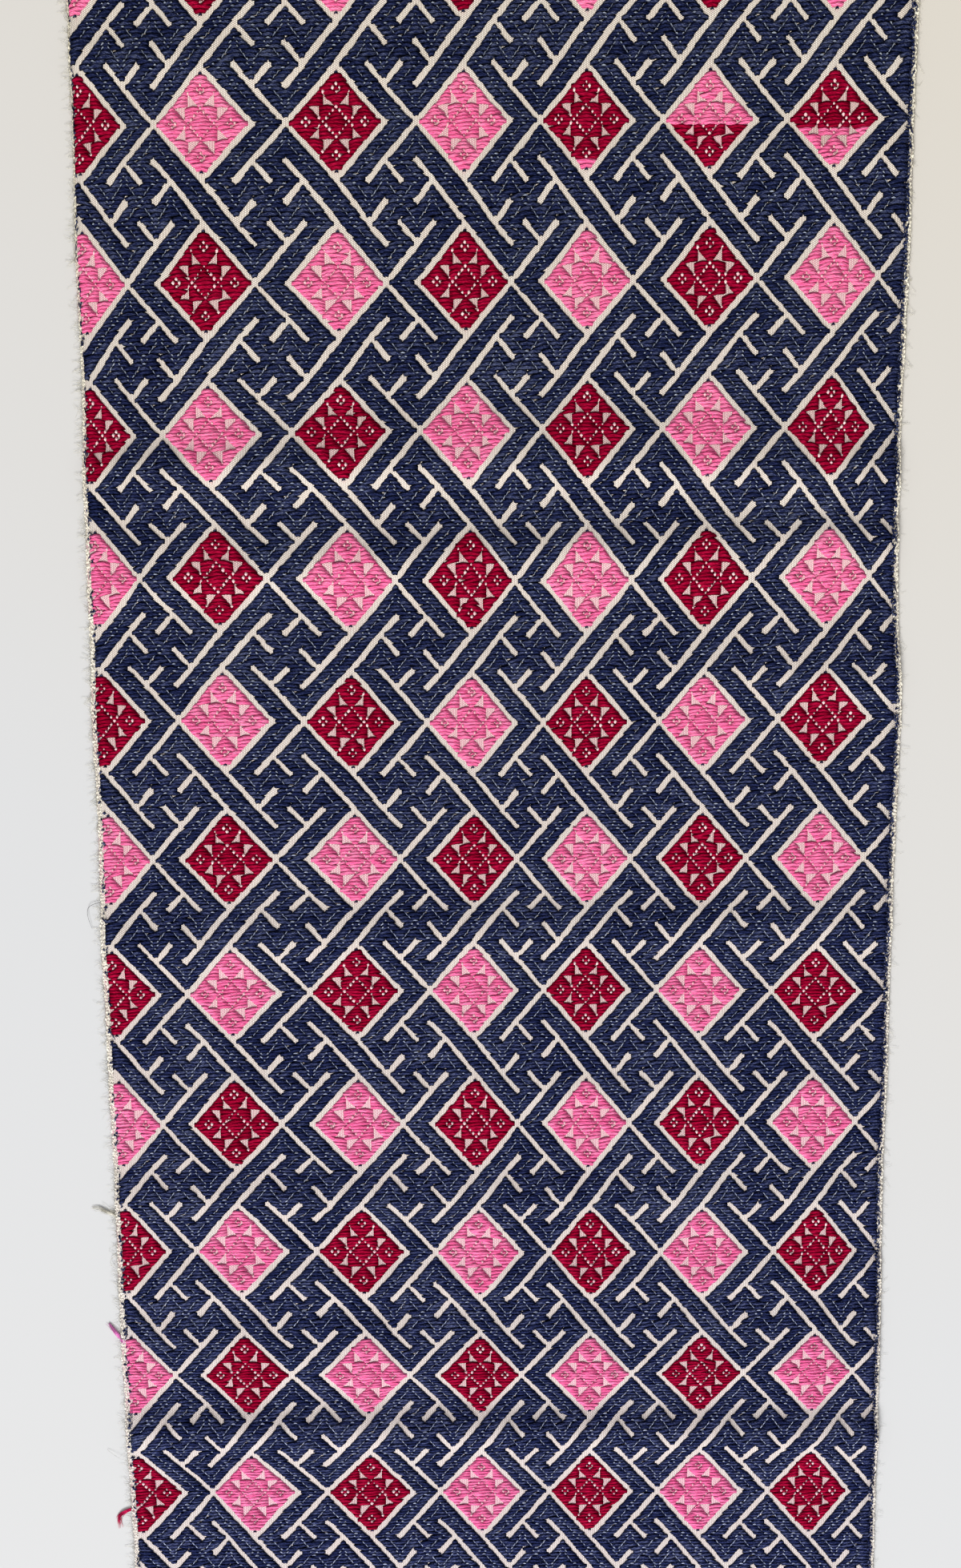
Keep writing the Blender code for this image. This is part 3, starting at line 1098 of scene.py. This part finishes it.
def tabby_group():
    """Height and gap of the ground weave, from a UV map in steps and picks."""
    tree, given, result = start_group(
        "Tabby weave",
        [("Threads", "NodeSocketVector", None), ("Bead Depth", "NodeSocketFloat", 0.45)],
        [("Height", "NodeSocketFloat"), ("Gap", "NodeSocketFloat"), ("Slub", "NodeSocketFloat")],
    )
    wander = tree.nodes.new("ShaderNodeTexNoise")
    wander.inputs["Scale"].default_value = 0.9
    wander.inputs["Detail"].default_value = 1.0
    put(tree, wander.inputs["Vector"], given["Threads"])
    off = vectors(tree, "SCALE", vectors(tree, "SUBTRACT", wander.outputs["Color"], (0.5, 0.5, 0.5)))
    off.node.inputs["Scale"].default_value = 0.30
    moved = split(tree, vectors(tree, "ADD", given["Threads"], off))
    warp = maths(tree, "MULTIPLY", moved["X"], WARPS_PER_STEP)
    pick = maths(tree, "MULTIPLY", moved["Y"], GROUND_PICKS_PER_PICK)
    arch = maths(tree, "ABSOLUTE", maths(tree, "SINE", maths(tree, "MULTIPLY", warp, math.pi)))
    number = maths(tree, "FLOOR", warp)
    turn = mixed(tree, (pick, 2 * math.pi), (number, math.pi))
    bead = maths(tree, "MULTIPLY_ADD", maths(tree, "SINE", turn), 0.5, 0.5)
    keep = maths(tree, "SUBTRACT", 1.0, given["Bead Depth"])
    bulge = maths(tree, "MULTIPLY_ADD", bead, given["Bead Depth"], keep)
    height = maths(tree, "MULTIPLY", arch, bulge)
    spread = (maths(tree, "MULTIPLY", number, 7.31), maths(tree, "MULTIPLY", pick, 0.06))
    place = join(tree, "ShaderNodeCombineXYZ", spread)
    put(tree, result["Height"], height)
    put(tree, result["Gap"], stretch(tree, height, 0.10, 0.80, 1.0, 0.0))
    put(tree, result["Slub"], noise(tree, place, 1.0, 1.0))
    return tree


TABBY = tabby_group()
print("group sockets:", [item.name for item in TABBY.interface.items_tree])

# %% [markdown]
# A laid thread is not one round cord but three or four fine plies side by side, hardly twisted. The
# group reads the piece's UV map, millimetres along the float and -1 to 1 across it, and draws the
# grooves between plies, a little out of line so no two floats look alike.

# %% Effect: plies of a laid thread
def plies_group():
    """Height and groove of the plies of a float."""
    tree, given, result = start_group(
        "Laid plies",
        [("Along And Across", "NodeSocketVector", None), ("Plies", "NodeSocketFloat", 3.0),
         ("Lean", "NodeSocketFloat", 0.16)],
        [("Height", "NodeSocketFloat"), ("Groove", "NodeSocketFloat"), ("Crown", "NodeSocketFloat"),
         ("Streak", "NodeSocketFloat")],
    )
    place = split(tree, given["Along And Across"])
    stray = maths(tree, "SUBTRACT", noise(tree, given["Along And Across"], 0.8, 1.0), 0.5)
    across = maths(tree, "MULTIPLY", place["Y"], maths(tree, "MULTIPLY", given["Plies"], 0.5))
    lean = maths(tree, "MULTIPLY", place["X"], given["Lean"])
    line = maths(tree, "ADD", maths(tree, "ADD", across, lean), maths(tree, "MULTIPLY", stray, 1.3))
    arch = maths(tree, "ABSOLUTE", maths(tree, "SINE", maths(tree, "MULTIPLY", line, math.pi)))
    from_ridge = maths(tree, "ABSOLUTE", place["Y"])
    along_ply = (maths(tree, "MULTIPLY", place["X"], 0.9), maths(tree, "MULTIPLY", line, 1.4))
    streak = noise(tree, join(tree, "ShaderNodeCombineXYZ", along_ply), 1.0, 2.0, 0.6)
    put(tree, result["Height"], arch)
    put(tree, result["Groove"], stretch(tree, arch, 0.0, 0.55, 1.0, 0.0))
    put(tree, result["Crown"], stretch(tree, from_ridge, 0.15, 1.0, 1.0, 0.0))
    put(tree, result["Streak"], stretch(tree, streak, 0.28, 0.72, 0.0, 1.0))
    return tree


PLIES = plies_group()

# %% [markdown]
# Spun cotton scatters light from countless loose fibres. Up close this reads as a fine, uneven grain, so the
# last group has two noises on Object coordinates, one for grain and one for the slow changes of tone that
# handling and dye leave over a few centimetres. Two slow ramps along the cloth make the far end darker, a
# painted falloff of the light from the lamp at the near end, and warmer.

# %% Effect: fibre, handling and painted light falloff
FAR_M, NEAR_M = 0.35, -0.35


def fibre_group():
    """Fine grain, slow tone, and the painted light falloff and the warmer far end, from Object coordinates.
    """
    tree, given, result = start_group(
        "Fibre, handling and painted falloff",
        [("Place", "NodeSocketVector", None)],
        [(label, "NodeSocketFloat") for label in ("Grain", "Tone", "Fade", "Cool")],
    )
    along = split(tree, given["Place"])["Y"]
    # painted light falloff: darker towards the far end, away from the lamp; Cool makes the far end warmer
    put(tree, result["Fade"], stretch(tree, along, FAR_M, NEAR_M, 0.80, 1.12))
    put(tree, result["Cool"], stretch(tree, along, FAR_M, NEAR_M, 0.93, 1.06))
    put(tree, result["Grain"], noise(tree, given["Place"], 2600.0, 2.0, 0.6))
    put(tree, result["Tone"], noise(tree, given["Place"], 38.0, 3.0, 0.55))
    return tree


FIBRE = fibre_group()
print("effects:", [group.name for group in bpy.data.node_groups])

# %% [markdown]
# The thread finishes differ in their dyes and in how much light reaches the grooves, the sides and
# the ends of a float. Each has a dark, a middle and a light tone, picked by the float's shade.
# Roughness is high, because spun yarn hardly shines, and only the ground has a little sheen for its
# halo of fibre.

# %% Thread and ground finishes
def use_group(tree, group, **values):
    """Place a group in a material with its own values."""
    node = tree.nodes.new("ShaderNodeGroup")
    node.node_tree = group
    for label, value in values.items():
        put(tree, node.inputs[label.replace("_", " ")], value)
    return node.outputs


def start_finish(name, roughness, sheen):
    """A material with its Principled shader, Object coordinates and UV map."""
    material = bpy.data.materials.new(name)
    material.use_nodes = True
    tree = material.node_tree
    shader = tree.nodes["Principled BSDF"]
    shader.inputs["Roughness"].default_value = roughness
    shader.inputs["Sheen Weight"].default_value = sheen
    shader.inputs["Sheen Roughness"].default_value = 0.5
    shader.inputs["Specular IOR Level"].default_value = 0.01
    coordinates = tree.nodes.new("ShaderNodeTexCoord")
    return material, tree, shader, coordinates.outputs


def channels(tree, red, green, blue):
    """A colour from three values."""
    return join(tree, "ShaderNodeCombineColor", (red, green, blue))


def attribute(tree, name):
    """The value of one of the mesh's own attributes."""
    node = tree.nodes.new("ShaderNodeAttribute")
    node.attribute_name = name
    return node.outputs["Fac"]


def bump(tree, shader, height, distance):
    """Feed a height to the shader's normal."""
    node = tree.nodes.new("ShaderNodeBump")
    node.inputs["Distance"].default_value = distance
    node.inputs["Strength"].default_value = 1.0
    put(tree, node.inputs["Height"], height)
    put(tree, shader.inputs["Normal"], node.outputs[0])


def thread_finish(name, dark, middle, light, groove_shade_depth, side_light, end_light, falloff_share):
    """A dyed thread laid in plies, with painted shade on the sides of each float, at its ends and in the
    grooves between its plies. The lights go from 0 to 1, and falloff_share says how much of the painted
    light falloff from end to end of the cloth it takes part in."""
    material, tree, shader, at = start_finish(name, 0.82, 0.0)
    ply = use_group(tree, PLIES, Along_And_Across=at["UV"])
    fibre = use_group(tree, FIBRE, Place=at["Object"])
    shade = attribute(tree, "shade")
    tone = mixed(tree, (shade, 0.32), (fibre["Tone"], 0.14), (fibre["Grain"], 0.16), (ply["Streak"], 0.38))
    colour = ramp(tree, tone, [(0.15, dye(*dark)), (0.5, dye(*middle)), (0.88, dye(*light))])
    # painted shade: a float's sides darker than its crown, its ends darker where it dips under the warp, and
    # the grooves between its plies darker
    side = stretch(tree, ply["Crown"], 0.22, 0.90, side_light, 1.0)
    end = stretch(tree, attribute(tree, "tip"), 0.40, 1.0, 1.0, end_light)
    painted_groove_shade = maths(tree, "SUBTRACT", 1.0, maths(tree, "MULTIPLY", ply["Groove"], groove_shade_depth))
    lit = maths(tree, "MULTIPLY", maths(tree, "MULTIPLY", side, end), painted_groove_shade)
    # painted light falloff: the far end of the cloth darker, away from the lamp at the near end
    falloff_lit = maths(tree, "MULTIPLY_ADD", maths(tree, "SUBTRACT", fibre["Fade"], 1.0), falloff_share, 1.0)
    lit = maths(tree, "MULTIPLY", lit, falloff_lit)
    light_on_it = channels(tree, lit, lit, maths(tree, "MULTIPLY", lit, fibre["Cool"]))
    put(tree, shader.inputs["Base Color"], blend_colours(tree, 1.0, colour, light_on_it, "MULTIPLY"))
    relief = maths(tree, "ADD", ply["Height"], maths(tree, "MULTIPLY", fibre["Grain"], 0.5))
    bump(tree, shader, relief, 0.00012)
    return material


THREADS = [
    # name, dark, middle and light dye, depth of the painted groove shade, painted light at the sides,
    # painted light at the ends, share of the painted falloff
    ("navy_thread", (0, 3, 28), (42, 50, 93), (138, 146, 180), 0.80, 0.03, 0.26, 1.0),
    ("crimson_thread", (104, 0, 20), (158, 4, 46), (212, 30, 84), 0.35, 0.38, 0.55, 0.55),
    ("pink_thread", (226, 58, 124), (254, 114, 168), (255, 178, 206), 0.55, 0.62, 0.95, 0.0),
    ("pale_fibre", (232, 224, 200), (246, 240, 220), (255, 252, 240), 0.05, 0.85, 0.90, 0.0),
    ("grey_thread", (92, 90, 92), (128, 126, 128), (170, 168, 170), 0.30, 0.50, 0.26, 1.0),
    ("stitch_thread", (112, 122, 160), (174, 184, 212), (222, 228, 240), 0.10, 0.80, 0.95, 2.2),
    ("rosy_stitch_thread", (216, 134, 154), (238, 184, 194), (252, 222, 222), 0.10, 0.80, 0.95, 0.0),
    ("pink_fibre", (255, 112, 202), (255, 146, 218), (255, 182, 232), 0.05, 0.95, 0.95, 0.0),
    ("crimson_fibre", (190, 10, 62), (222, 28, 92), (240, 70, 120), 0.05, 0.95, 0.95, 0.0),
    ("ecru_thread", (196, 188, 176), (238, 230, 214), (255, 250, 236), 0.16, 0.72, 0.85, 0.0),
]
thread = {row[0]: thread_finish(*row) for row in THREADS}
PALE_ENDS = ("white_loop", "white_thread_end", "thin_thread_end", "top_fibre_end")


def ground_finish():
    """Ecru cotton tabby, with painted shade in the gaps between its ribs, and tinted inside each flower
    partly by the flower threads' fuzz and partly by painted bounce light from them.
    """
    material, tree, shader, at = start_finish("ecru_ground", 0.88, 0.10)
    weave = use_group(tree, TABBY, Threads=at["UV"])
    fibre = use_group(tree, FIBRE, Place=at["Object"])
    tone = mixed(tree, (weave["Slub"], 0.5), (fibre["Grain"], 0.3), (fibre["Tone"], 0.2))
    tones = [(0.25, dye(240, 226, 215)), (0.5, dye(251, 240, 231)), (0.75, dye(255, 252, 246))]
    colour = ramp(tree, tone, tones)
    apart = split(tree, at["UV"])
    counts, away = [], []
    for axis in ("X", "Y"):
        place = maths(tree, "DIVIDE", apart[axis], float(STEPS))
        counts.append(maths(tree, "ROUND", place))
        away.append(maths(tree, "ABSOLUTE", maths(tree, "SUBTRACT", place, counts[-1])))
    reach = maths(tree, "MULTIPLY", maths(tree, "ADD", *away), float(STEPS))
    middle_pick, half_woven = 0.5 * (FIRST_PICK + LAST_PICK), 0.5 * (LAST_PICK - FIRST_PICK)
    from_middle = maths(tree, "ABSOLUTE", maths(tree, "ADD", apart["Y"], middle_pick))
    in_band = stretch(tree, from_middle, half_woven, half_woven + 1.0, 1.0, 0.0)
    in_flower = maths(tree, "MULTIPLY", in_band, stretch(tree, reach, 12.0, 14.5, 1.0, 0.0))
    is_pink = maths(tree, "FLOORED_MODULO", maths(tree, "ADD", *counts), 2.0)
    # pink and crimson tint of the ground inside the flowers: partly flower fuzz, partly painted bounce light
    # from the flower threads
    flower_fuzz_and_bounce = blend_colours(tree, is_pink, dye(178, 40, 82), dye(236, 96, 150))
    # painted shade in the gaps between the warp ribs, where the weave is low
    gap_shade_colour = blend_colours(tree, in_flower, dye(184, 158, 144), flower_fuzz_and_bounce)
    rib_colour = blend_colours(tree, maths(tree, "MULTIPLY", in_flower, 0.16), colour, flower_fuzz_and_bounce)
    gap_shade = maths(tree, "MULTIPLY", weave["Gap"], 0.66)
    colour = blend_colours(tree, gap_shade, rib_colour, gap_shade_colour)
    cool = channels(tree, 1.0, 1.0, fibre["Cool"])
    put(tree, shader.inputs["Base Color"], blend_colours(tree, 1.0, colour, cool, "MULTIPLY"))
    relief = maths(tree, "ADD", weave["Height"], maths(tree, "MULTIPLY", fibre["Grain"], 0.25))
    bump(tree, shader, relief, 0.00030)
    return material


finishes = [
    (navy_pieces + back_navy_pieces + [navy_turns], thread["navy_thread"]),
    (flower_pieces[CRIMSON] + back_flower_pieces[CRIMSON], thread["crimson_thread"]),
    (flower_pieces[PINK] + back_flower_pieces[PINK], thread["pink_thread"]),
    ([ecru_turns], thread["ecru_thread"]),
    ([flower_stitches], thread["rosy_stitch_thread"]),
    ([tie_stitches], thread["stitch_thread"]),
    ([fibres, end_fibres, tufts["white_fluff"]], thread["pale_fibre"]),
    ([thread_ends[name] for name in PALE_ENDS], thread["pale_fibre"]),
    ([thread_ends["grey_thread_end"]], thread["grey_thread"]),
    ([thread_ends["dark_thread_end"]], thread["navy_thread"]),
    ([tufts["pink_tuft"]], thread["pink_fibre"]),
    ([tufts["crimson_tuft"]], thread["crimson_fibre"]),
    ([ground], ground_finish()),
]
for pieces, finish in finishes:
    for piece in pieces:
        piece.data.materials.append(finish)
print("finishes:", [finish.name for _, finish in finishes])

# %% [markdown]
# The panel is one piece of cloth, so every piece rides on the one body. The ground sheet stands for
# the plain solid, and the floats, turns and loose threads are declared as pieces on it.

# %% Tie the pieces to the frame
woven = [piece for pieces, _ in finishes for piece in pieces]
for piece in woven:
    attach(piece, "root")
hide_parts("brocade_panel")

# %% [markdown]
# The photograph is a plain one from above: a pale matt surface, even daylight, and a camera that
# looks almost straight down from half a metre. One large soft lamp at the near end gives the threads
# their modelling, and a bright sky fills the rest.

# %% Surface, light and camera
FLOOR_HALF_WIDTH = 4.0
FLOOR_HEIGHT = -0.0002
SKY_COLOUR = (0.97, 0.98, 1.0, 1.0)
SKY_STRENGTH = 0.52


def floor():
    """The pale surface that the cloth lies on."""
    body = bmesh.new()
    bmesh.ops.create_grid(body, x_segments=1, y_segments=1, size=FLOOR_HALF_WIDTH)
    bmesh.ops.translate(body, verts=body.verts, vec=(0.0, 0.0, FLOOR_HEIGHT))
    mesh = bpy.data.meshes.new("pale_surface")
    body.to_mesh(mesh)
    body.free()
    piece = bpy.data.objects.new("pale_surface", mesh)
    bpy.context.scene.collection.objects.link(piece)
    material, tree, shader, at = start_finish("pale_surface", 0.9, 0.0)
    place = split(tree, at["Object"])
    far = stretch(tree, maths(tree, "MULTIPLY_ADD", place["X"], 0.6, place["Y"]), -0.1, 0.6, 0.0, 0.8)
    warm = maths(tree, "ADD", far, maths(tree, "MULTIPLY", noise(tree, at["Object"], 3.0), 0.2))
    tones = [(0.1, dye(211, 211, 211)), (0.9, dye(215, 207, 192))]
    put(tree, shader.inputs["Base Color"], ramp(tree, warm, tones))
    mesh.materials.append(material)
    return piece


def soft_lamp(name, place, aim, size, power):
    """A large square area lamp."""
    lamp = bpy.data.lights.new(name, "AREA")
    lamp.size = size
    lamp.energy = power
    item = bpy.data.objects.new(name, lamp)
    item.location = place
    item.rotation_euler = (Vector(aim) - Vector(place)).to_track_quat("-Z", "Y").to_euler()
    bpy.context.scene.collection.objects.link(item)
    return item


floor()
soft_lamp("window", (-1.9, -8.0, 4.4), (0.0, 0.0, 0.0), 3.0, 1260.0)
world = bpy.data.worlds.new("daylight")
world.use_nodes = True
sky = world.node_tree.nodes["Background"].inputs
sky["Color"].default_value = SKY_COLOUR
sky["Strength"].default_value = SKY_STRENGTH
bpy.context.scene.world = world
bpy.context.scene.view_settings.view_transform = "Standard"

PICTURE_HEIGHT = 1958.0
FOCAL_PIXELS = 1500.0
lens = bpy.data.cameras.new("photo_camera")
lens.sensor_fit = "VERTICAL"
lens.sensor_height = 24.0
lens.lens = FOCAL_PIXELS / PICTURE_HEIGHT * lens.sensor_height
lens.clip_start = 0.01
camera = bpy.data.objects.new("photo_camera", lens)
camera.location = (0.0003, 0.0900, 0.5288)
camera.rotation_euler = [math.radians(turn) for turn in (-6.552, 0.653, -0.698)]
bpy.context.scene.collection.objects.link(camera)
bpy.context.scene.camera = camera

# %% [markdown]
# The last cell counts the triangles of each piece and hands everything to the frame.

# %% Sizes and finish
depsgraph = bpy.context.evaluated_depsgraph_get()
sizes = {}
for piece in woven:
    shaped = piece.evaluated_get(depsgraph).to_mesh()
    shaped.calc_loop_triangles()
    sizes[piece.name] = len(shaped.loop_triangles)
print("triangles in all:", sum(sizes.values()), sizes)
